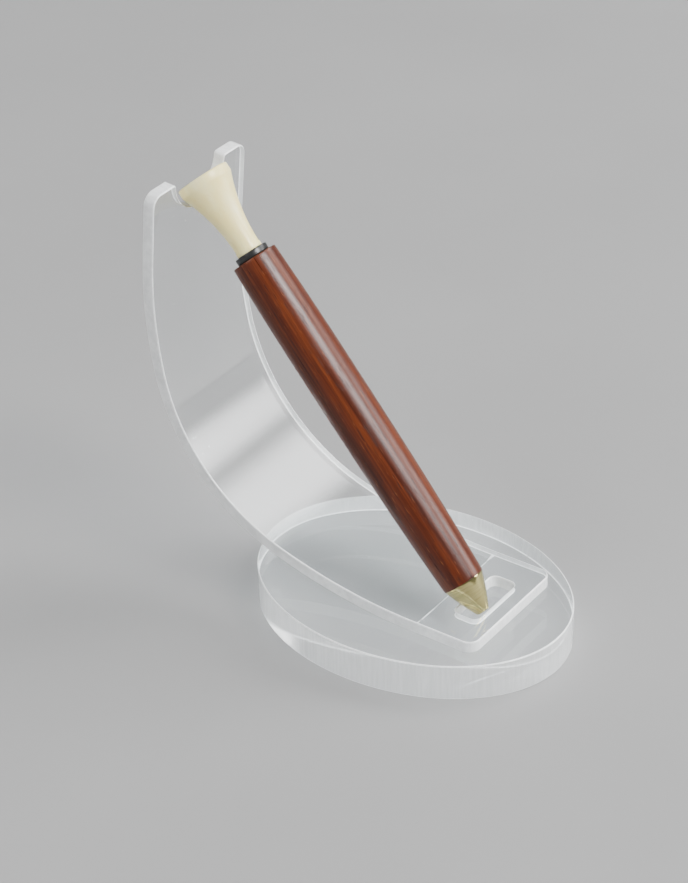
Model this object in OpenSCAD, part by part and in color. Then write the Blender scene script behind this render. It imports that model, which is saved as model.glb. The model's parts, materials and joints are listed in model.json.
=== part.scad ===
// Dip pen holder: a turned nib holder with a rosewood barrel, leaning in its clear acrylic stand.
// Millimetres, +Z up. The origin is the centre of the oval base's underside. The toe of the
// bent cradle points to -Y and its upright stands at +Y. Pen parts are drawn along their own
// axis, from the nib end (0) to the top of the finial, and then leaned into the cradle.

/* [View] */
// Which piece to draw

/* [Base] */
// Length of the oval base
base_len = 86; // [60:1:120]
// Width of the oval base
base_w = 64.6; // [45:0.2:90]
// Thickness of the base sheet
base_t = 10; // [6:0.5:16]
/* [Cradle] */
// Width of the bent strip
strip_w = 36.6; // [28:0.2:50]
// Thickness of the bent strip
strip_t = 3.2; // [2:0.1:5]
// Distance from the base's centre to the toe of the foot
toe_y = 29.7; // [24:0.1:36]
// Length of the flat foot
foot_len = 17.5; // [14:0.5:26]
// Underside radius of the first, shallow bend
bend1_r = 133; // [80:1:180]
// Angle of the first bend
bend1_deg = 18; // [10:1:26]
// Underside radius of the main bend
bend2_r = 54.4; // [40:0.2:80]
// Angle of the main bend
bend2_deg = 61.1; // [50:0.1:70]
// Underside radius of the upper bend
bend3_r = 116; // [80:1:180]
// Angle of the upper bend
bend3_deg = 16.2; // [8:0.1:22]
// Corner radius of the toe and the ears
corner_r = 3.2; // [1:0.1:6]
// Radius of the half-round notch
notch_r = 9.5; // [7.5:0.1:12]
// Length of the tip slot across the strip
slot_len = 18.4; // [12:0.1:26]
// Width of the tip slot along the strip
slot_w = 6.9; // [6:0.1:11]
// Corner radius of the tip slot
slot_r = 1.8; // [1:0.1:4]
// Strip left between the toe and the slot
slot_inset = 4.9; // [2:0.1:6]

/* [Pen barrel] */
// Length of the wooden barrel
barrel_len = 94.8; // [70:0.2:130]
// Radius of the barrel at its swell
swell_r = 6.42; // [5.5:0.02:8]
// Radius of the barrel at the ferrule
barrel_nib_r = 5.5; // [5:0.02:7]
// Radius of the barrel at the collar
barrel_end_r = 5.95; // [5:0.02:7]
// Place of the swell along the barrel, as a share of its length
swell_at = 0.62; // [0.4:0.01:0.8]
// Bore of the barrel, for the lining tube
barrel_bore_r = 4; // [3.4:0.05:4.4]
// Wall of the lining tube
tube_wall = 0.4; // [0.3:0.05:0.8]
// How far the tube stops short of each end of the barrel
tube_inset = 0.3; // [0.1:0.1:1]

/* [Ferrule] */
// Length of the metal cone
cone_len = 8.9; // [6:0.1:14]
// Radius of the cone's nib end
cone_tip_r = 1.7; // [1.6:0.05:2.4]
// Radius of the cone where it meets the barrel
cone_root_r = 5.42; // [4.6:0.02:6.4]
// How far the cone's side swells beyond a straight line
cone_swell = 0.2; // [0:0.02:0.5]
// Length of the spigot
spigot_len = 7; // [4:0.1:10]
// Length of the bush that takes the spigot
nib_bush_len = 9; // [6:0.1:14]
// Wall of that bush, between the lining tube and the spigot
nib_bush_wall = 0.55; // [0.4:0.05:0.8]
// Depth of the mouth, before the grip sleeve starts
mouth_len = 2.2; // [1:0.1:4]
// Radius of the grip sleeve's bore, which holds a tubular nib
socket_r = 1.25; // [1:0.01:1.4]
// Wall of the grip sleeve
sleeve_wall = 0.65; // [0.4:0.05:0.9]
// Length of the grip sleeve
sleeve_len = 11; // [6:0.1:13]
// Width of the two slits that let the sleeve spring
slit_w = 0.4; // [0.2:0.05:0.6]
// Solid length left at the sleeve's inner end
slit_stop = 2.5; // [1:0.1:4]

/* [Finial] */
// Radius of the black collar
collar_r = 4.4; // [3.6:0.05:5.5]
// Height of the black collar
collar_len = 1.7; // [1:0.1:3]
// Rounding bevel on the collar's edges
collar_bevel = 0.3; // [0.1:0.05:0.6]
// Length of the whole finial
finial_len = 21.65; // [16:0.05:30]
// Radius of the finial's foot
finial_foot_r = 3.42; // [3:0.02:4]
// Height of the finial's foot bead
finial_foot_len = 1.1; // [0.6:0.1:2]
// Radius of the finial's neck
finial_neck_r = 3.25; // [3:0.02:4]
// Radius of the finial's top band
band_r = 6.95; // [5.5:0.05:7.4]
// Height of the finial's top band
band_len = 2.3; // [1:0.1:4]
// Rounded edge on the band's top
band_bevel = 0.35; // [0.1:0.05:0.8]
// Radius of the screwed stud
stud_r = 2; // [1.5:0.05:2.4]
// Length of stud inside the barrel
stud_in_barrel = 8; // [5:0.1:12]
// Length of stud inside the finial
stud_in_finial = 8; // [5:0.1:12]
// Length of the bush that takes the stud
end_bush_len = 10; // [7:0.1:14]
// Bevel on both ends of the stud
stud_bevel = 0.4; // [0.1:0.05:0.8]

/* [Fits] */
// Radial clearance of the two screwed joints
thread_gap = 0.05; // [0.02:0.01:0.1]
// Gap between faces that screw up to each other
face_gap = 0.03; // [0.01:0.01:0.1]
// How far the finial stands past the notch, which sets the upright's height
finial_past = 4.8; // [2:0.1:10]
// Gap between the leaning pen and the two edges that it rests on
seat_gap = 0.14; // [0.02:0.01:0.3]
// Radial gap between the collar and the stud
collar_gap = 0.1; // [0.05:0.01:0.3]
// Angle that the pen is swung about the notch, seen from above
pen_swing = 2.9; // [-4:0.1:4]
// Where the cone rests on the slot's inner edge, from its nib end
cone_rest = 4.4; // [3.5:0.1:6]

/* [Hidden] */
$fn = 96;
steps = 16;              // points along each turned curve
oval_steps = 144;        // points around the base
bend_steps = 24;         // points along each bend of the strip

CLEAR = [0.86, 0.93, 0.95, 0.4];
WOOD = [0.36, 0.14, 0.08];
BRASS = [0.80, 0.68, 0.45];
STEEL = [0.70, 0.71, 0.73];
BONE = [0.90, 0.86, 0.76];
BLACK = [0.05, 0.05, 0.05];

// The strip's path along its underside, bend by bend, from the toe.
bends = [[bend1_r, bend1_deg], [bend2_r, bend2_deg], [bend3_r, bend3_deg]];
function turned_to(i) = i == 0 ? 0 : turned_to(i - 1) + bends[i - 1][1];
function path_y(i) = i == 0 ? foot_len - toe_y
    : path_y(i - 1) + bends[i - 1][0] * (sin(turned_to(i)) - sin(turned_to(i - 1)));
function path_z(i) = i == 0 ? base_t
    : path_z(i - 1) + bends[i - 1][0] * (cos(turned_to(i - 1)) - cos(turned_to(i)));
top_deg = turned_to(3);
function turned_at(i, k) = turned_to(i) + (i < 3 ? bends[i][1] * k / bend_steps : 0);
function on_path(i, k) = let (r = i < 3 ? bends[i][0] : 0, a = turned_to(i), b = turned_at(i, k))
    [path_y(i) + r * (sin(b) - sin(a)), path_z(i) + r * (cos(a) - cos(b))];

// Stations along the pen, from the nib end.
barrel_s = cone_len + face_gap;
barrel_end_s = barrel_s + barrel_len;
collar_s = barrel_end_s + face_gap;
finial_s = collar_s + collar_len + face_gap;
pen_len = finial_s + finial_len;
tube_r = barrel_bore_r - tube_wall;
spigot_r = tube_r - nib_bush_wall - thread_gap;
sleeve_r = socket_r + sleeve_wall;
flare_s = finial_s + finial_foot_len;
flare_len = finial_len - finial_foot_len - band_len;
flare_rise = band_r - finial_neck_r;
flare_r = (pow(flare_len, 2) + pow(flare_rise, 2)) / (2 * flare_rise);
function cone_r(u) = cone_tip_r + (cone_root_r - cone_tip_r) * u + 4 * cone_swell * u * (1 - u);
function flare_at(x) = finial_neck_r + flare_r - sqrt(pow(flare_r, 2) - pow(x, 2));

// How the pen leans: its cone over the slot's inner edge, its finial over the notch.
slot_y = slot_inset + slot_w / 2 - toe_y;
edge_y = slot_y + slot_w / 2;
edge_z = base_t + strip_t;

// The upright runs straight on from its last bend until its notch is a pen's reach from the slot.
reach = pen_len - finial_past - cone_rest;
front_y = path_y(3) - strip_t * sin(top_deg) - edge_y;
front_z = path_z(3) + strip_t * cos(top_deg) - edge_z;
front_run = front_y * cos(top_deg) + front_z * sin(top_deg);
notch_run = sqrt(pow(front_run, 2) + pow(reach, 2) - pow(front_y, 2) - pow(front_z, 2)) - front_run;
top_len = notch_run + notch_r;
notch_y = edge_y + front_y + notch_run * cos(top_deg);
notch_z = edge_z + front_z + notch_run * sin(top_deg);
low_rest = cone_r(cone_rest / cone_len) + seat_gap;
high_rest = flare_at(min(flare_len, reach + cone_rest - flare_s)) + seat_gap;
lean = atan2(notch_z - edge_z, notch_y - edge_y) + asin((high_rest - low_rest) / reach);

module in_pen() {
    translate([0, notch_y, 0]) rotate([0, 0, -pen_swing]) translate([0, edge_y - notch_y, edge_z])
        rotate([lean - 90, 0, 0]) translate([0, -low_rest, -cone_rest]) children();
}

module along(s) { in_pen() translate([0, 0, s]) children(); }

module ring(r, bore, h) {
    difference() {
        cylinder(r = r, h = h);
        translate([0, 0, -1]) cylinder(r = bore, h = h + 2);
    }
}

module base_disc() {
    color(CLEAR) linear_extrude(base_t)
        polygon([for (i = [1:oval_steps]) let (a = 360 * i / oval_steps)
            [base_w / 2 * cos(a), base_len / 2 * sin(a)]]);
}

module slot_outline() {
    square([slot_len - 2 * slot_r, slot_w], center = true);
    square([slot_len, slot_w - 2 * slot_r], center = true);
    for (x = [-1, 1], y = [-1, 1])
        translate([x * (slot_len / 2 - slot_r), y * (slot_w / 2 - slot_r)]) circle(r = slot_r);
}

// The strip's side outline, from the toe along the underside and back along the front face.
module strip_profile() {
    under = concat([[-toe_y, base_t]], [for (i = [0:2], k = [0:bend_steps - 1]) on_path(i, k)],
                   [on_path(3, 0) + top_len * [cos(top_deg), sin(top_deg)]]);
    angle = concat([0], [for (i = [0:2], k = [0:bend_steps - 1]) turned_at(i, k)], [top_deg]);
    last = len(under) - 1;
    polygon(concat(under, [for (j = [last:-1:0])
        under[j] + strip_t * [-sin(angle[j]), cos(angle[j])]]));
}

// What a corner loses when it is rounded: drawn at the corner of a strip that ends at y = 0.
module corner_waste(side) {
    translate([side * (strip_w / 2 - corner_r), -corner_r, -1]) difference() {
        translate([side > 0 ? 0 : -corner_r - 1, 0, 0])
            cube([corner_r + 1, corner_r + 1, strip_t + 2]);
        translate([0, 0, -1]) cylinder(r = corner_r, h = strip_t + 4);
    }
}

module cradle_arm() {
    color(CLEAR) difference() {
        rotate([90, 0, 90]) translate([0, 0, -strip_w / 2]) linear_extrude(strip_w) strip_profile();
        translate([0, slot_y, base_t - 1]) linear_extrude(strip_t + 2) slot_outline();
        translate([0, -toe_y, base_t]) mirror([0, 1, 0])
            for (side = [-1, 1]) corner_waste(side);
        translate([0, path_y(3), path_z(3)]) rotate([top_deg, 0, 0]) translate([0, top_len, 0]) {
            for (side = [-1, 1]) corner_waste(side);
            translate([0, 0, -1]) cylinder(r = notch_r, h = strip_t + 2);
        }
    }
}

// The barrel's radius at a share u of its length: fuller at the swell, finer at both ends.
function barrel_r(u) = u < swell_at
    ? swell_r - (swell_r - barrel_nib_r) * pow(1 - u / swell_at, 2.6)
    : swell_r - (swell_r - barrel_end_r) * pow((u - swell_at) / (1 - swell_at), 2.6);

module barrel() {
    color(WOOD) along(barrel_s) rotate_extrude()
        polygon(concat([[barrel_bore_r, 0]],
                       [for (i = [0:2 * steps]) [barrel_r(i / steps / 2), barrel_len * i / steps / 2]],
                       [[barrel_bore_r, barrel_len]]));
}

module barrel_tube() {
    color(BRASS) along(barrel_s + tube_inset)
        ring(barrel_bore_r, tube_r, barrel_len - 2 * tube_inset);
}

module nib_bush() {
    color(BRASS) along(barrel_s + tube_inset) ring(tube_r, spigot_r + thread_gap, nib_bush_len);
}

module end_bush() {
    color(BRASS) along(barrel_end_s - tube_inset - end_bush_len)
        ring(tube_r, stud_r + thread_gap, end_bush_len);
}

module ferrule() {
    color(BRASS) in_pen() rotate_extrude()
        polygon(concat([[socket_r, 0]],
                       [for (i = [0:steps]) [cone_r(i / steps), cone_len * i / steps]],
                       [[spigot_r, cone_len], [spigot_r, cone_len + spigot_len],
                        [sleeve_r, cone_len + spigot_len], [sleeve_r, mouth_len],
                        [socket_r, mouth_len]]));
}

module nib_sleeve() {
    color(STEEL) along(mouth_len) difference() {
        ring(sleeve_r, socket_r, sleeve_len);
        translate([-sleeve_r - 1, -slit_w / 2, -1])
            cube([2 * sleeve_r + 2, slit_w, sleeve_len - slit_stop + 1]);
    }
}

module finial_collar() {
    color(BLACK) along(collar_s) rotate_extrude()
        polygon([[stud_r + collar_gap, 0], [collar_r - collar_bevel, 0], [collar_r, collar_bevel],
                 [collar_r, collar_len - collar_bevel], [collar_r - collar_bevel, collar_len],
                 [stud_r + collar_gap, collar_len]]);
}

module finial() {
    color(BONE) along(finial_s) rotate_extrude()
        polygon(concat([[stud_r, 0], [finial_foot_r, 0], [finial_foot_r, finial_foot_len]],
                       [for (i = [0:steps]) let (x = flare_len * i / steps)
                           [flare_at(x), finial_foot_len + x]],
                       [[band_r, finial_len - band_bevel], [band_r - band_bevel, finial_len],
                        [0, finial_len], [0, stud_in_finial], [stud_r, stud_in_finial]]));
}

module finial_stud() {
    len = stud_in_barrel + stud_in_finial + collar_len + 2 * face_gap;
    color(STEEL) along(finial_s + stud_in_finial - len) {
        cylinder(r1 = stud_r - stud_bevel, r2 = stud_r, h = stud_bevel);
        translate([0, 0, stud_bevel]) cylinder(r = stud_r, h = len - stud_bevel);
    }
}

base_disc();
cradle_arm();
barrel();
barrel_tube();
nib_bush();
end_bush();
ferrule();
nib_sleeve();
finial_collar();
finial();
finial_stud();
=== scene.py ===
"""Looks of the dip pen holder: a turned nib holder leaning in its clear acrylic stand."""

import json
import math

import bmesh
import bpy
from mathutils import Matrix, Vector
from mathutils.geometry import delaunay_2d_cdt


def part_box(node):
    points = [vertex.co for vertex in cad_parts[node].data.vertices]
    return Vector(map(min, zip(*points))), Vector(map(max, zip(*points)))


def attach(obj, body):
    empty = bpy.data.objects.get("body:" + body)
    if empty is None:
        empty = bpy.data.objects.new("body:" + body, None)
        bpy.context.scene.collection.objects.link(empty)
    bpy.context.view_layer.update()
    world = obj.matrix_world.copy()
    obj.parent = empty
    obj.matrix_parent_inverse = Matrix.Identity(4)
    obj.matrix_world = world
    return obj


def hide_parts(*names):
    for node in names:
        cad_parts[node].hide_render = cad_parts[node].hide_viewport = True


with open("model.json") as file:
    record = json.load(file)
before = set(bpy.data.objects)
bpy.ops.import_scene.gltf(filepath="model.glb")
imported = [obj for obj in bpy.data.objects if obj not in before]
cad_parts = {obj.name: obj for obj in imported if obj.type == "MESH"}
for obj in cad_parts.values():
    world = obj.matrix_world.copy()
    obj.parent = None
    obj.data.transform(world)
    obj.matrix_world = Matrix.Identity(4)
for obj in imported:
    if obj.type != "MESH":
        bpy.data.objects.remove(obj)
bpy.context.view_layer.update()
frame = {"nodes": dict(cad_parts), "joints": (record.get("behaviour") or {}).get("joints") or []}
MM = 0.001

# ---------------------------------------------------------------- sizes, in millimetres

# The bent strip, as the CAD makes it: a flat foot, three bends and a straight upright.
STRIP_W, STRIP_T = 36.6, 3.2
TOE_Y, BASE_T, FOOT_LEN = 29.7, 10.0, 17.5
BENDS = ((133.0, 18.0), (54.4, 61.1), (116.0, 16.2))  # underside radius, degrees
CORNER_R, NOTCH_R = 3.2, 9.5
SLOT_LEN, SLOT_W, SLOT_R, SLOT_INSET = 18.4, 6.9, 1.8, 4.9
EDGE_ROUND = 0.32  # the polish on every edge of the acrylic
NOTCH_EASE = 0.9  # the soft corner where the notch meets the top of each ear
BEAD_W = 0.22  # the line of dried cement that shows where the joint ends
ROW = 1.0  # how finely the sheets are divided

# The material slots of an acrylic sheet, and its two flat sides.
FACE, WALL, JOINT, CORNER = range(4)
UNDERSIDE, TOP = range(2)

# The pen's stations along its axis, from the nib end.
CONE_LEN, BARREL_LEN, COLLAR_LEN, FACE_GAP = 8.9, 94.8, 1.7, 0.03
FINE_EASE = 0.12  # the small round on a crisp turned edge
BARREL_S = CONE_LEN + FACE_GAP
COLLAR_S = BARREL_S + BARREL_LEN + FACE_GAP
FINIAL_S = COLLAR_S + COLLAR_LEN + FACE_GAP


# ---------------------------------------------------------------- node material helpers


class Nodes:
    """A material's node tree, with short calls for the nodes used here."""

    def __init__(self, name):
        self.mat = bpy.data.materials.new(name)
        self.mat.use_nodes = True
        self.tree = self.mat.node_tree
        self.tree.nodes.clear()
        self.out = self.tree.nodes.new("ShaderNodeOutputMaterial")

    def add(self, kind, links=None, **props):
        node = self.tree.nodes.new("ShaderNode" + kind)
        for key, value in props.items():
            setattr(node, key, value)
        for socket, value in (links or {}).items():
            target = node.inputs[socket]
            if isinstance(value, bpy.types.NodeSocket):
                self.tree.links.new(value, target)
            else:
                target.default_value = value
        return node

    def place(self, scale=(1.0, 1.0, 1.0), rotation=(0.0, 0.0, 0.0)):
        """The piece's own coordinates in metres, stretched to suit a texture."""
        coords = self.add("TexCoord").outputs["Object"]
        mapped = self.add("Mapping", {"Vector": coords, "Scale": scale, "Rotation": rotation})
        return mapped.outputs["Vector"]

    def noise(self, vector, scale, detail=3.0, rough=0.5, distort=0.0):
        return self.add("TexNoise", {"Vector": vector, "Scale": scale, "Detail": detail,
                                     "Roughness": rough, "Distortion": distort}).outputs["Fac"]

    def ramp(self, value, stops):
        """A colour ramp; each stop is (place, grey or colour)."""
        node = self.add("ValToRGB", {"Fac": value})
        while len(node.color_ramp.elements) < len(stops):
            node.color_ramp.elements.new(0.5)
        for element, (at, tone) in zip(node.color_ramp.elements, stops):
            element.position = at
            element.color = (*tone, 1.0) if isinstance(tone, tuple) else (tone, tone, tone, 1.0)
        return node.outputs["Color"]

    def blend(self, factor, first, second):
        """Mixes two colours: sockets 0, 6 and 7 of a colour Mix node, whose result is output 2."""
        node = self.add("Mix", data_type="RGBA")
        for index, value in ((0, factor), (6, first), (7, second)):
            if isinstance(value, bpy.types.NodeSocket):
                self.tree.links.new(value, node.inputs[index])
            elif index:
                node.inputs[index].default_value = (*value, 1.0)
            else:
                node.inputs[index].default_value = value
        return node.outputs[2]

    def maths(self, what, first, second):
        node = self.add("Math", operation=what)
        for index, value in enumerate((first, second)):
            if isinstance(value, bpy.types.NodeSocket):
                self.tree.links.new(value, node.inputs[index])
            else:
                node.inputs[index].default_value = value
        return node.outputs[0]

    def span(self, value, low, high):
        """Carries a 0 to 1 value to the range low to high."""
        node = self.add("MapRange", {"Value": value, "To Min": low, "To Max": high})
        return node.outputs["Result"]

    def bump(self, height, distance, strength):
        return self.add("Bump", {"Height": height, "Distance": distance,
                                 "Strength": strength}).outputs["Normal"]

    def surface(self, shader):
        self.tree.links.new(shader, self.out.inputs["Surface"])
        return self.mat


# ---------------------------------------------------------------- materials


def acrylic(name, clear, rough_low, rough_high, marks, marks_scale):
    """Clear cast acrylic with dust and hairline scratches; lamps shine through it.

    clear is the (least, most) share of light that a spot lets through: the rest scatters
    white, as a sanded and buffed edge does. marks stretches the saw and buffing marks.
    """
    n = Nodes(name)
    plain = n.place()
    fog = n.noise(n.place(marks), marks_scale, 4.0, 0.6)
    scratch = n.noise(n.place((1.0, 0.03, 0.03), (0.3, 0.5, 0.9)), 5200.0, 2.0)
    scratch = n.ramp(scratch, ((0.66, 0.0), (0.78, 1.0)))
    rough = n.maths("ADD", n.span(fog, rough_low, rough_high), n.span(scratch, 0.0, 0.015))
    dust = n.add("TexVoronoi", {"Vector": plain, "Scale": 420.0}).outputs["Distance"]
    patchy = n.ramp(n.noise(plain, 60.0, 3.0), ((0.46, 0.0), (0.66, 0.07)))
    speck = n.maths("LESS_THAN", dust, n.maths("ADD", patchy, 0.012))
    passed = n.span(n.ramp(fog, ((0.38, 0.0), (0.62, 1.0))), *clear)
    passed = n.maths("MULTIPLY", passed, n.maths("SUBTRACT", 1.0, n.maths("MULTIPLY", speck, 0.5)))
    ripple = n.noise(plain, 35.0, 2.0)
    glass = n.add("BsdfPrincipled", {
        "Base Color": (0.97, 0.985, 0.99, 1.0), "IOR": 1.49, "Transmission Weight": passed,
        "Roughness": rough, "Normal": n.bump(ripple, 0.00002, 0.2)})
    lamps = n.add("BsdfTransparent", {"Color": (0.93, 0.945, 0.95, 1.0)})
    path = n.add("LightPath")
    return n.surface(n.add("MixShader", {0: path.outputs["Is Shadow Ray"], 1: glass.outputs[0],
                                         2: lamps.outputs[0]}).outputs[0])


def cement_joint():
    """The solvent-cemented faces: nothing to see but a few pinholes."""
    n = Nodes("cemented_joint")
    pinholes = n.add("TexVoronoi", {"Vector": n.place(), "Scale": 420.0})
    spots = n.ramp(pinholes.outputs["Distance"], ((0.05, 1.0), (0.09, 0.0)))
    clear = n.add("BsdfTransparent", {"Color": (0.99, 0.995, 1.0, 1.0)})
    sheen = n.add("BsdfGlossy", {"Color": (0.9, 0.9, 0.9, 1.0), "Roughness": 0.2})
    return n.surface(n.add("MixShader", {0: n.maths("MULTIPLY", spots, 0.4), 1: clear.outputs[0],
                                         2: sheen.outputs[0]}).outputs[0])


def rosewood():
    """Red-brown rosewood under satin lacquer, its grain running along the barrel."""
    n = Nodes("rosewood")
    # Broad figure, then streaks, then hair-fine fibres, each drawn out along the axis.
    figure = n.noise(n.place((1.0, 0.55, 0.028), (0.0, 0.02, 0.4)), 420.0, 4.0, 0.55, 0.25)
    streaks = n.noise(n.place((1.0, 1.0, 0.020)), 1900.0, 4.0, 0.6)
    fibres = n.noise(n.place((1.0, 1.0, 0.030)), 7500.0, 2.0, 0.5)
    tone = n.maths("ADD", n.maths("MULTIPLY", figure, 0.5), n.maths("MULTIPLY", streaks, 0.5))
    colour = n.ramp(tone, ((0.34, (0.019, 0.0034, 0.0015)), (0.44, (0.056, 0.0092, 0.0026)),
                           (0.54, (0.100, 0.0185, 0.0044)), (0.68, (0.160, 0.0350, 0.0080))))
    colour = n.blend(n.ramp(fibres, ((0.44, 0.0), (0.70, 0.55))), colour, (0.050, 0.013, 0.006))
    pale = n.noise(n.place((1.0, 1.0, 0.055)), 5200.0, 1.0, 0.4)
    colour = n.blend(n.ramp(pale, ((0.70, 0.0), (0.78, 0.55))), colour, (0.36, 0.13, 0.05))
    # Open pores: short dark dashes.
    pores = n.noise(n.place((1.0, 1.0, 0.060)), 4200.0, 1.0, 0.4)
    pores = n.ramp(pores, ((0.66, 0.0), (0.73, 1.0)))
    colour = n.blend(n.maths("MULTIPLY", pores, 0.8), colour, (0.016, 0.005, 0.003))
    grain = n.maths("ADD", n.maths("MULTIPLY", streaks, 0.35), n.maths("MULTIPLY", fibres, 0.5))
    height = n.maths("SUBTRACT", grain, pores)
    rough = n.maths("ADD", n.span(streaks, 0.20, 0.44), n.maths("MULTIPLY", pores, 0.15))
    return n.surface(n.add("BsdfPrincipled", {
        "Base Color": colour, "Roughness": rough, "Normal": n.bump(height, 0.00003, 0.6),
        "IOR": 1.38, "Coat Weight": 0.05, "Coat Roughness": 0.2}).outputs[0])


def cream_resin():
    """Polished bone-like resin: warm cream with faint lengthwise figure."""
    n = Nodes("cream_resin")
    clouds = n.noise(n.place((1.0, 1.0, 0.35)), 260.0, 3.0)
    fibres = n.noise(n.place((1.0, 1.0, 0.05)), 2600.0, 3.0, 0.6)
    colour = n.ramp(clouds, ((0.32, (0.96, 0.80, 0.33)), (0.52, (0.98, 0.86, 0.41)),
                             (0.72, (0.99, 0.90, 0.52))))
    colour = n.blend(n.ramp(fibres, ((0.56, 0.0), (0.74, 0.45))), colour, (0.88, 0.68, 0.26))
    return n.surface(n.add("BsdfPrincipled", {
        "Base Color": colour, "Roughness": n.span(clouds, 0.26, 0.36),
        "Subsurface Weight": 0.12, "Subsurface Radius": (0.0016, 0.0011, 0.0007),
        "Subsurface Scale": 1.0, "IOR": 1.5,
        "Normal": n.bump(fibres, 0.00002, 0.25)}).outputs[0])


def black_resin():
    n = Nodes("black_resin")
    rings = n.noise(n.place((0.02, 0.02, 1.0)), 9000.0, 2.0)
    return n.surface(n.add("BsdfPrincipled", {
        "Base Color": n.ramp(rings, ((0.3, 0.008), (0.7, 0.026))), "IOR": 1.5,
        "Roughness": n.span(rings, 0.22, 0.40),
        "Normal": n.bump(rings, 0.00001, 0.2)}).outputs[0])


def turned_metal(name, low, high, rough_low, rough_high, line_scale=9000.0):
    """Metal off the lathe: fine rings round the axis, under a polish."""
    n = Nodes(name)
    rings = n.noise(n.place((0.015, 0.015, 1.0)), line_scale, 3.0, 0.6)
    smear = n.noise(n.place((1.0, 1.0, 0.5)), 420.0, 3.0)
    colour = n.blend(n.ramp(rings, ((0.35, 0.0), (0.68, 1.0))), low, high)
    rough = n.maths("ADD", n.span(rings, rough_low, rough_high), n.span(smear, -0.02, 0.04))
    return n.surface(n.add("BsdfPrincipled", {
        "Base Color": colour, "Metallic": 1.0, "Roughness": rough,
        "Normal": n.bump(rings, 0.000008, 0.3)}).outputs[0])


def pale_floor():
    n = Nodes("pale_floor")
    mottle = n.noise(n.place(), 9.0, 4.0)
    tooth = n.noise(n.place(), 1400.0, 2.0)
    return n.surface(n.add("BsdfPrincipled", {
        "Base Color": n.ramp(mottle, ((0.3, 0.285), (0.7, 0.305))), "Roughness": 0.62,
        "Normal": n.bump(tooth, 0.00006, 0.12)}).outputs[0])


CLEAR_FACE = acrylic("acrylic_face", (0.985, 1.0), 0.0, 0.012, (1.0, 1.0, 1.0), 60.0)
STRIP_EDGE = acrylic("acrylic_strip_edge", (0.12, 0.24), 0.16, 0.28, (1.0, 0.25, 0.25), 1500.0)
BASE_EDGE = acrylic("acrylic_base_edge", (0.46, 0.53), 0.02, 0.05, (1.0, 1.0, 0.06), 1400.0)
BRIGHT_CORNER = acrylic("acrylic_corner", (0.02, 0.14), 0.10, 0.20, (1.0, 1.0, 1.0), 900.0)
CEMENTED = cement_joint()
ROSEWOOD = rosewood()
CREAM = cream_resin()
BLACK = black_resin()
PALE_GOLD = turned_metal("pale_gold", (0.46, 0.395, 0.155), (0.68, 0.60, 0.28), 0.03, 0.07)
TUBE_BRASS = turned_metal("tube_brass", (0.60, 0.42, 0.16), (0.78, 0.58, 0.26), 0.22, 0.36, 5000.0)
SPRING_STEEL = turned_metal("spring_steel", (0.42, 0.42, 0.43), (0.60, 0.60, 0.61), 0.24, 0.38,
                            6000.0)


# ---------------------------------------------------------------- mesh helpers


def piece(name, mesh, body, nodes, materials, matrix=None):
    """Puts a finished mesh in the scene as a named piece that stands for CAD nodes."""
    mesh.name = name
    obj = bpy.data.objects.new(name, mesh)
    bpy.context.scene.collection.objects.link(obj)
    if matrix is not None:
        obj.matrix_world = matrix
    for material in materials:
        mesh.materials.append(material)
    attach(obj, body)
    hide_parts(*nodes)
    return obj


def arc(centre, radius, start, end, steps):
    """Points on an arc, with angles in degrees, both ends included."""
    angles = (math.radians(start + (end - start) * i / steps) for i in range(steps + 1))
    return [Vector((centre[0] + radius * math.cos(a), centre[1] + radius * math.sin(a)))
            for a in angles]


def inset(loop, distance):
    """A closed 2D outline moved inward; the outline runs anticlockwise round its material."""
    moved = []
    for i, point in enumerate(loop):
        before, after = (point - loop[i - 1]), (loop[(i + 1) % len(loop)] - point)
        along = (before.normalized() + after.normalized()).normalized()
        lean = max(0.5, along.dot(after.normalized()))
        moved.append(point + Vector((-along.y, along.x)) * distance / lean)
    return moved


def inside(point, loop):
    """True if a 2D point lies within a closed outline."""
    within = False
    for i, a in enumerate(loop):
        b = loop[i - 1]
        if (a.y > point.y) != (b.y > point.y):
            if point.x < (b.x - a.x) * (point.y - a.y) / (b.y - a.y) + a.x:
                within = not within
    return within


def rounded_edge(thickness, round_r, steps=4):
    """(inset, height) pairs up a sheet's edge, with both of its corners rounded."""
    quarter = [math.radians(90 * i / steps) for i in range(steps + 1)]
    low = [(round_r * (1 - math.sin(a)), round_r * (1 - math.cos(a))) for a in quarter]
    return low + [(deep, thickness - up) for deep, up in reversed(low)]


def sheet_wall(bm, loop, thickness, place):
    """The polished edge along one outline; returns its lowest and highest ring of points."""
    rings = [[bm.verts.new(place(p.x, p.y, up)) for p in inset(loop, deep)]
             for deep, up in rounded_edge(thickness, EDGE_ROUND)]
    count, wall = len(loop), len(rings) // 2 - 1
    for step, (low, high) in enumerate(zip(rings, rings[1:])):
        for i in range(count):
            j = (i + 1) % count
            face = bm.faces.new((low[i], low[j], high[j], high[i]))
            face.material_index = WALL if step == wall else CORNER
    return rings[0], rings[-1]


def sheet_face(bm, flats, ring_verts, fill_points, place, tag, side, height):
    """One flat side of a sheet, filled with triangles between its outlines."""
    coords, owners, edges = [], [], []
    for flat, ring in zip(flats, ring_verts):
        first = len(coords)
        coords += flat
        owners += ring
        edges += [(first + i, first + (i + 1) % len(flat)) for i in range(len(flat))]
    coords += fill_points
    points, _, faces, origin, _, _ = delaunay_2d_cdt(coords, edges, [], 0, 1e-7)
    verts = []
    for point, source in zip(points, origin):
        known = [k for k in source if k < len(owners)]
        verts.append(owners[known[0]] if known else bm.verts.new(place(point.x, point.y, height)))
    for face in faces:
        centre = sum((points[k] for k in face), Vector((0.0, 0.0))) / len(face)
        if inside(centre, flats[0]) and not any(inside(centre, hole) for hole in flats[1:]):
            order = face if side == TOP else reversed(face)
            bm.faces.new([verts[k] for k in order]).material_index = tag(centre, side)


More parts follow.
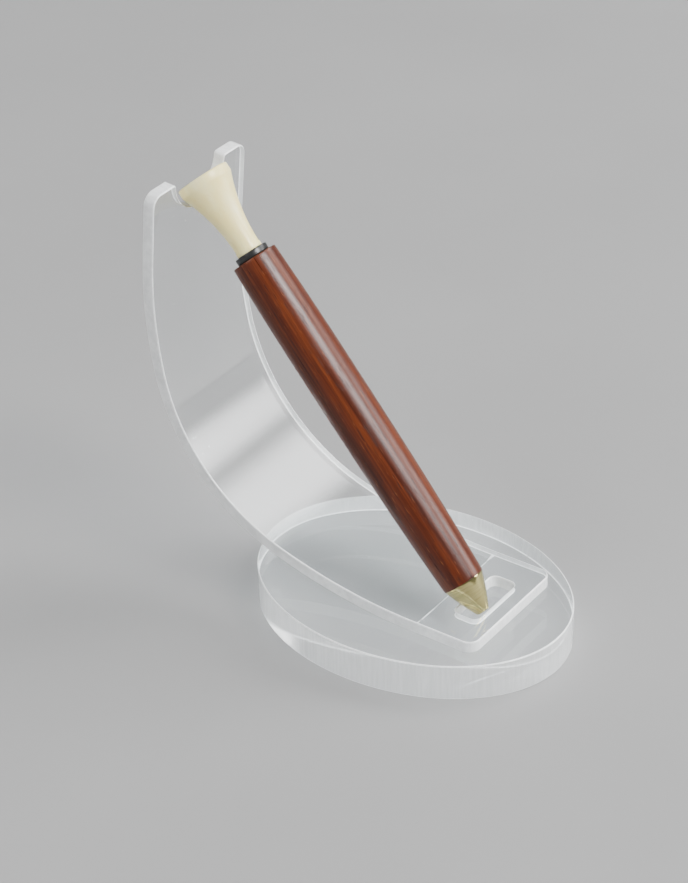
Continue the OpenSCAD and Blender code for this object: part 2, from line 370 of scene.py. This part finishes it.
def sheet_mesh(loops, fill_points, thickness, place, tag):
    """A sheet cut to outlines, with polished edges, carried into 3D by place(x, y, height).

    The first loop is the outside and the others are holes. fill_points divide the flat
    sides, so that they can bend. tag(centre, side) names the material of each of their faces.
    """
    bm = bmesh.new()
    rings = [sheet_wall(bm, loop, thickness, place) for loop in loops]
    flats = [inset(loop, EDGE_ROUND) for loop in loops]
    for side, height in ((UNDERSIDE, 0.0), (TOP, thickness)):
        sheet_face(bm, flats, [ring[side] for ring in rings], fill_points, place, tag, side, height)
    loose = [v for v in bm.verts if not v.link_faces]
    bmesh.ops.delete(bm, geom=loose, context="VERTS")
    mesh = bpy.data.meshes.new("sheet")
    bm.to_mesh(mesh)
    bm.free()
    mesh.shade_smooth()
    return mesh


def weight_normals(obj):
    """Lets the broad faces set the shading, so that a polished edge stays a thin line."""
    modifier = obj.modifiers.new("weighted", "WEIGHTED_NORMAL")
    modifier.mode = "FACE_AREA_WITH_ANGLE"
    modifier.weight = 50


def turned_mesh(outline, segments=160):
    """A closed lathe form about Z; outline is (radius, height) pairs in millimetres."""
    bm = bmesh.new()
    turn = [2 * math.pi * i / segments for i in range(segments)]
    rings = []
    for radius, height in outline:
        angles = turn if radius > 0 else [0.0]
        rings.append([bm.verts.new((radius * MM * math.cos(a), radius * MM * math.sin(a),
                                    height * MM)) for a in angles])
    closed = len(rings[0]) > 1 and len(rings[-1]) > 1
    pairs = list(zip(rings, rings[1:])) + ([(rings[-1], rings[0])] if closed else [])
    for low, high in pairs:
        for i in range(segments):
            j = (i + 1) % segments
            corners = [low[i % len(low)], low[j % len(low)], high[j % len(high)],
                       high[i % len(high)]]
            corners = list(dict.fromkeys(corners))  # a pole gives two equal corners
            if len(corners) > 2:
                bm.faces.new(corners)
    bmesh.ops.recalc_face_normals(bm, faces=bm.faces)
    mesh = bpy.data.meshes.new("turned")
    bm.to_mesh(mesh)
    bm.free()
    mesh.shade_smooth()
    mesh.set_sharp_from_angle(angle=math.radians(38))
    return mesh


def eased(outer, ease, end, sign, steps=4):
    """Points of a small round on an outside corner, from the end face to the side."""
    turn = [math.radians(90 * i / steps) for i in range(steps + 1)]
    return [(outer - ease + ease * math.sin(a), end + sign * (ease - ease * math.cos(a)))
            for a in turn]


# ---------------------------------------------------------------- the strip's path


def strip_path():
    """Stations along the strip's underside: (length so far, y, z, angle) where each part starts."""
    length, y, z, angle = FOOT_LEN, FOOT_LEN - TOE_Y, BASE_T, 0.0
    parts = [(0.0, -TOE_Y, BASE_T, 0.0)]
    for radius, degrees in BENDS:
        parts.append((length, y, z, angle))
        after = angle + math.radians(degrees)
        y += radius * (math.sin(after) - math.sin(angle))
        z += radius * (math.cos(angle) - math.cos(after))
        length += radius * math.radians(degrees)
        angle = after
    parts.append((length, y, z, angle))
    return parts


PATH = strip_path()
TOP_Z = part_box("cradle_arm")[1].z / MM
UPRIGHT = (TOP_Z - PATH[-1][2]) / math.sin(PATH[-1][3])
STRIP_LEN = PATH[-1][0] + UPRIGHT


def on_strip(x, s, height):
    """A point of the strip from its flat pattern, in metres: x across, s from the toe."""
    index = max((i for i in range(len(PATH)) if PATH[i][0] <= s + 1e-9), default=0)
    start, y, z, angle = PATH[index]
    run = s - start
    if index in (0, len(PATH) - 1):  # the flat foot or the straight upright
        y, z = y + run * math.cos(angle), z + run * math.sin(angle)
    else:
        radius = BENDS[index - 1][0]
        after = angle + run / radius
        y += radius * (math.sin(after) - math.sin(angle))
        z += radius * (math.cos(angle) - math.cos(after))
        angle = after
    return Vector((x, y - height * math.sin(angle), z + height * math.cos(angle))) * MM


def strip_outline():
    """The strip's flat pattern, anticlockwise from its toe, with a point each ROW up its sides."""
    half, top = STRIP_W / 2, STRIP_LEN
    rows = [ROW * i for i in range(1, int(top / ROW) + 1)]
    side = [s for s in rows if CORNER_R + 0.2 < s < top - CORNER_R - 0.2]
    right = (arc((half - CORNER_R, CORNER_R), CORNER_R, -90, 0, 10)
             + [Vector((half, s)) for s in side]
             + arc((half - CORNER_R, top - CORNER_R), CORNER_R, 0, 90, 10))
    # The notch, with a small round where it meets the top of the ear.
    reach = NOTCH_R + NOTCH_EASE
    swing = math.degrees(math.asin(NOTCH_EASE / reach))
    across = math.sqrt(reach ** 2 - NOTCH_EASE ** 2)
    ease_right = arc((across, top - NOTCH_EASE), NOTCH_EASE, 90, 180 - swing, 6)
    hollow = arc((0.0, top), NOTCH_R, -swing, -180 + swing, 40)[1:-1]
    ease_left = [Vector((-p.x, p.y)) for p in reversed(ease_right)]
    left = [Vector((-p.x, p.y)) for p in reversed(right)]
    return right + ease_right + hollow + ease_left + left


def slot_outline():
    """The tip slot in the foot's flat pattern, clockwise, because it is a hole."""
    x, y = SLOT_LEN / 2 - SLOT_R, SLOT_W / 2 - SLOT_R
    mid = SLOT_INSET + SLOT_W / 2
    corners = ((x, mid + y, 0), (-x, mid + y, 90), (-x, mid - y, 180), (x, mid - y, 270))
    loop = [p for cx, cy, start in corners for p in arc((cx, cy), SLOT_R, start, start + 90, 8)]
    return list(reversed(loop))


# ---------------------------------------------------------------- the stand


def make_strip():
    loops, columns, clearance = [strip_outline(), slot_outline()], 10, 0.8
    across = [STRIP_W * (i / columns - 0.5) for i in range(1, columns)]
    solid = [inset(loop, clearance) for loop in loops]
    fill = [Vector((x, ROW * i)) for i in range(1, int(STRIP_LEN / ROW)) for x in across]
    fill = [p for p in fill if inside(p, solid[0]) and not inside(p, solid[1])]
    bead = FOOT_LEN - BEAD_W
    fill += [Vector((x, s)) for s in (bead, FOOT_LEN) for x in across]

    def tag(centre, side):
        if side == TOP or centre.y > FOOT_LEN:
            return FACE
        return JOINT if centre.y < bead else WALL

    mesh = sheet_mesh(loops, fill, STRIP_T, on_strip, tag)
    strip = piece("clear_cradle", mesh, "stand", ["cradle_arm"],
                  [CLEAR_FACE, STRIP_EDGE, CEMENTED, BRIGHT_CORNER])
    weight_normals(strip)


def make_base():
    corner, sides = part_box("base_disc")[1] / MM, 288
    rim = [Vector((corner.x * math.cos(a), corner.y * math.sin(a)))
           for a in (2 * math.pi * i / sides for i in range(sides))]
    # The foot's footprint, as far as it touches.
    foot = inset([p for p in strip_outline() if p.y <= FOOT_LEN + 0.01], EDGE_ROUND)
    foot = [Vector((p.x, min(p.y, FOOT_LEN) - TOE_Y)) for p in foot]
    hole = [Vector((p.x, p.y - TOE_Y)) for p in inset(slot_outline(), EDGE_ROUND)]

    def tag(centre, side):
        touches = side == TOP and inside(centre, foot) and not inside(centre, hole)
        return JOINT if touches else FACE

    def place(x, y, height):
        return Vector((x, y, height)) * MM

    mesh = sheet_mesh([rim], foot + hole, BASE_T, place, tag)
    base = piece("clear_base", mesh, "stand", ["base_disc"],
                 [CLEAR_FACE, BASE_EDGE, CEMENTED, BRIGHT_CORNER])
    weight_normals(base)


# ---------------------------------------------------------------- the pen


def pen_matrix():
    """The pen's own frame: origin at the nib end, Z along the axis towards the finial."""
    joints = {j["name"]: j for j in frame["joints"]}
    axis = Vector(joints["finial_turn"]["axis"]).normalized()
    root = Vector(joints["ferrule_turn"]["pos_m"])
    side = axis.cross(Vector((0, 0, 1))).normalized()
    turn = Matrix((side, axis.cross(side), axis)).transposed().to_4x4()
    return Matrix.Translation(root - axis * CONE_LEN * MM) @ turn


PEN = pen_matrix()


def on_pen(name, outline, body, nodes, material):
    """A turned piece on the pen's axis; its outline's heights run from the nib end."""
    return piece(name, turned_mesh(outline), body, nodes, [material], PEN)


def barrel_r(u):
    """The barrel's radius at a share of its length: fullest at the swell."""
    swell_r, swell_at, nib_r, end_r, taper = 6.42, 0.62, 5.5, 5.95, 2.6
    if u < swell_at:
        return swell_r - (swell_r - nib_r) * (1 - u / swell_at) ** taper
    return swell_r - (swell_r - end_r) * ((u - swell_at) / (1 - swell_at)) ** taper


def make_barrel():
    bore, steps, end = 4.0, 90, BARREL_S + BARREL_LEN
    side = [(barrel_r(i / steps), BARREL_S + BARREL_LEN * i / steps) for i in range(1, steps)]
    low = eased(barrel_r(0), FINE_EASE, BARREL_S, 1)
    high = eased(barrel_r(1), 0.3, end, -1)
    outline = [(bore, BARREL_S)] + low + side + high[::-1] + [(bore, end)]
    on_pen("wooden_barrel", outline, "pen", ["barrel"], ROSEWOOD)


def make_ferrule():
    tip, root, swell, steps = 1.7, 5.42, 0.2, 48
    spigot, sleeve, socket, mouth_len, mouth_bevel = 3.0, 1.9, 1.25, 2.2, 0.15
    spigot_len = 7.0
    top = CONE_LEN + spigot_len
    side = [(tip + (root - tip) * u + 4 * swell * u * (1 - u), CONE_LEN * u)
            for u in (i / steps for i in range(1, steps))]
    outline = ([(socket + mouth_bevel, 0.0)] + eased(tip, FINE_EASE, 0.0, 1) + side
               + [(root - FINE_EASE / 2, CONE_LEN), (spigot, CONE_LEN), (spigot, top),
                  (sleeve, top), (sleeve, mouth_len), (socket, mouth_len), (socket, mouth_bevel)])
    on_pen("gold_cone", outline, "nib_end", ["ferrule"], PALE_GOLD)


def make_collar():
    radius, bore, ease, end = 4.4, 2.1, 0.3, COLLAR_S + COLLAR_LEN
    outline = ([(bore, COLLAR_S)] + eased(radius, ease, COLLAR_S, 1)
               + eased(radius, ease, end, -1)[::-1] + [(bore, end)])
    on_pen("black_ring", outline, "collar", ["finial_collar"], BLACK)


def flare_side(neck_r, band_r, flare_len, steps=60):
    """The trumpet's side as (radius, height) pairs: an arc that leaves the neck along the axis."""
    rise = band_r - neck_r
    sweep = (flare_len ** 2 + rise ** 2) / (2 * rise)
    return [(neck_r + sweep - math.sqrt(sweep ** 2 - x ** 2), x)
            for x in (flare_len * i / steps for i in range(steps + 1))]


def make_finial():
    foot_r, foot_len, neck_r, band_r, band_len, length = 3.42, 1.1, 3.25, 6.95, 2.3, 21.65
    stud_r, stud_depth = 2.0, 8.0
    flare = [(r, foot_len + x)
             for r, x in flare_side(neck_r, band_r, length - foot_len - band_len)]
    # Its end face is turned slightly hollow.
    dish_r, dish_deep = band_r - 0.9, 0.35
    dish = [(dish_r * (1 - u), length - dish_deep * (2 * u - u ** 2))
            for u in (i / 12 for i in range(13))]
    outline = ([(0.0, stud_depth), (stud_r, stud_depth), (stud_r, 0.0)]
               + eased(foot_r, FINE_EASE, 0.0, 1) + [(foot_r, foot_len)] + flare
               + eased(band_r, 0.4, length, -1)[::-1] + dish)
    outline = [(r, FINIAL_S + h) for r, h in outline]
    on_pen("cream_finial", outline, "end_cap", ["finial"], CREAM)


def finish_inner_parts():
    """The CAD's own hidden pieces keep their shape and get a turned finish."""
    for node, material in (("barrel_tube", TUBE_BRASS), ("nib_bush", TUBE_BRASS),
                           ("end_bush", TUBE_BRASS), ("nib_sleeve", SPRING_STEEL),
                           ("finial_stud", SPRING_STEEL)):
        mesh = frame["nodes"][node].data
        mesh.materials.clear()
        mesh.materials.append(material)


# ---------------------------------------------------------------- studio


def softbox(name, place, size, power):
    """A light aimed at the object, which fades from its middle so that its mirror image is soft."""
    light = bpy.data.lights.new(name, "AREA")
    light.shape = "RECTANGLE"
    light.size, light.size_y = size
    light.energy = power
    light.use_nodes = True
    tree = light.node_tree
    across = tree.nodes.new("ShaderNodeNewGeometry").outputs["Parametric"]
    away = tree.nodes.new("ShaderNodeVectorMath")
    away.operation = "DISTANCE"
    away.inputs[1].default_value = (0.5, 0.5, 0.0)
    fade = tree.nodes.new("ShaderNodeMapRange")
    fade.interpolation_type = "SMOOTHSTEP"
    fade.inputs["From Min"].default_value, fade.inputs["From Max"].default_value = 0.5, 0.1
    tree.links.new(across, away.inputs[0])
    tree.links.new(away.outputs["Value"], fade.inputs["Value"])
    tree.links.new(fade.outputs["Result"], tree.nodes["Emission"].inputs["Strength"])
    lamp = bpy.data.objects.new(name, light)
    bpy.context.scene.collection.objects.link(lamp)
    lamp.location = place
    middle = Vector((0.0, 0.01, 0.05))
    lamp.rotation_euler = (middle - Vector(place)).to_track_quat("-Z", "Y").to_euler()


def make_world():
    """The pale walls of the studio: brightest at floor level, dimmer overhead."""
    world = bpy.data.worlds.new("studio")
    bpy.context.scene.world = world
    world.use_nodes = True
    tree = world.node_tree
    walls = tree.nodes["Background"]
    walls.inputs["Color"].default_value = (0.80, 0.82, 0.85, 1.0)
    direction = tree.nodes.new("ShaderNodeSeparateXYZ")
    height = tree.nodes.new("ShaderNodeMapRange")
    for socket, value in (("From Max", 0.6), ("To Min", 0.42), ("To Max", 0.20)):
        height.inputs[socket].default_value = value
    tree.links.new(tree.nodes.new("ShaderNodeTexCoord").outputs["Generated"],
                   direction.inputs["Vector"])
    tree.links.new(direction.outputs["Z"], height.inputs["Value"])
    tree.links.new(height.outputs["Result"], walls.inputs["Strength"])


def make_studio():
    bpy.ops.mesh.primitive_plane_add(size=24.0, location=(0, 0, -0.0003))
    floor = bpy.context.object
    floor.name = "floor"
    floor.data.materials.append(pale_floor())
    make_world()
    softbox("front_key", (0.05, -2.00, 2.12), (1.90, 1.50), 400.0)
    softbox("right_top", (1.90, -0.75, 1.95), (2.00, 2.50), 225.0)
    softbox("left_fill", (-2.10, 0.75, 1.75), (2.00, 2.00), 140.0)
    softbox("low_right", (1.50, -2.00, 1.05), (1.75, 1.40), 140.0)


def make_camera():
    """The photograph's viewing angle: from the front left, above, through a long lens."""
    azimuth, elevation, roll = math.radians(-54.05), math.radians(32.97), math.radians(-1.29)
    distance, right_by, up_by = 0.71285, -0.01681, 0.04367
    back = Vector((math.sin(azimuth) * math.cos(elevation),
                   -math.cos(azimuth) * math.cos(elevation), math.sin(elevation)))
    right = (-back).cross(Vector((0, 0, 1))).normalized()
    up = right.cross(-back)
    across = math.cos(roll) * right + math.sin(roll) * up
    upward = -math.sin(roll) * right + math.cos(roll) * up
    data = bpy.data.cameras.new("camera")
    data.sensor_width, data.lens = 36.0, 114.2949
    data.clip_start, data.clip_end = 0.01, 20.0
    camera = bpy.data.objects.new("camera", data)
    bpy.context.scene.collection.objects.link(camera)
    place = right * right_by + up * up_by + back * distance
    turn = Matrix((across, upward, back)).transposed().to_4x4()
    camera.matrix_world = Matrix.Translation(place) @ turn
    bpy.context.scene.camera = camera


make_camera()
make_strip()
make_base()
make_barrel()
make_ferrule()
make_collar()
make_finial()
finish_inner_parts()
make_studio()
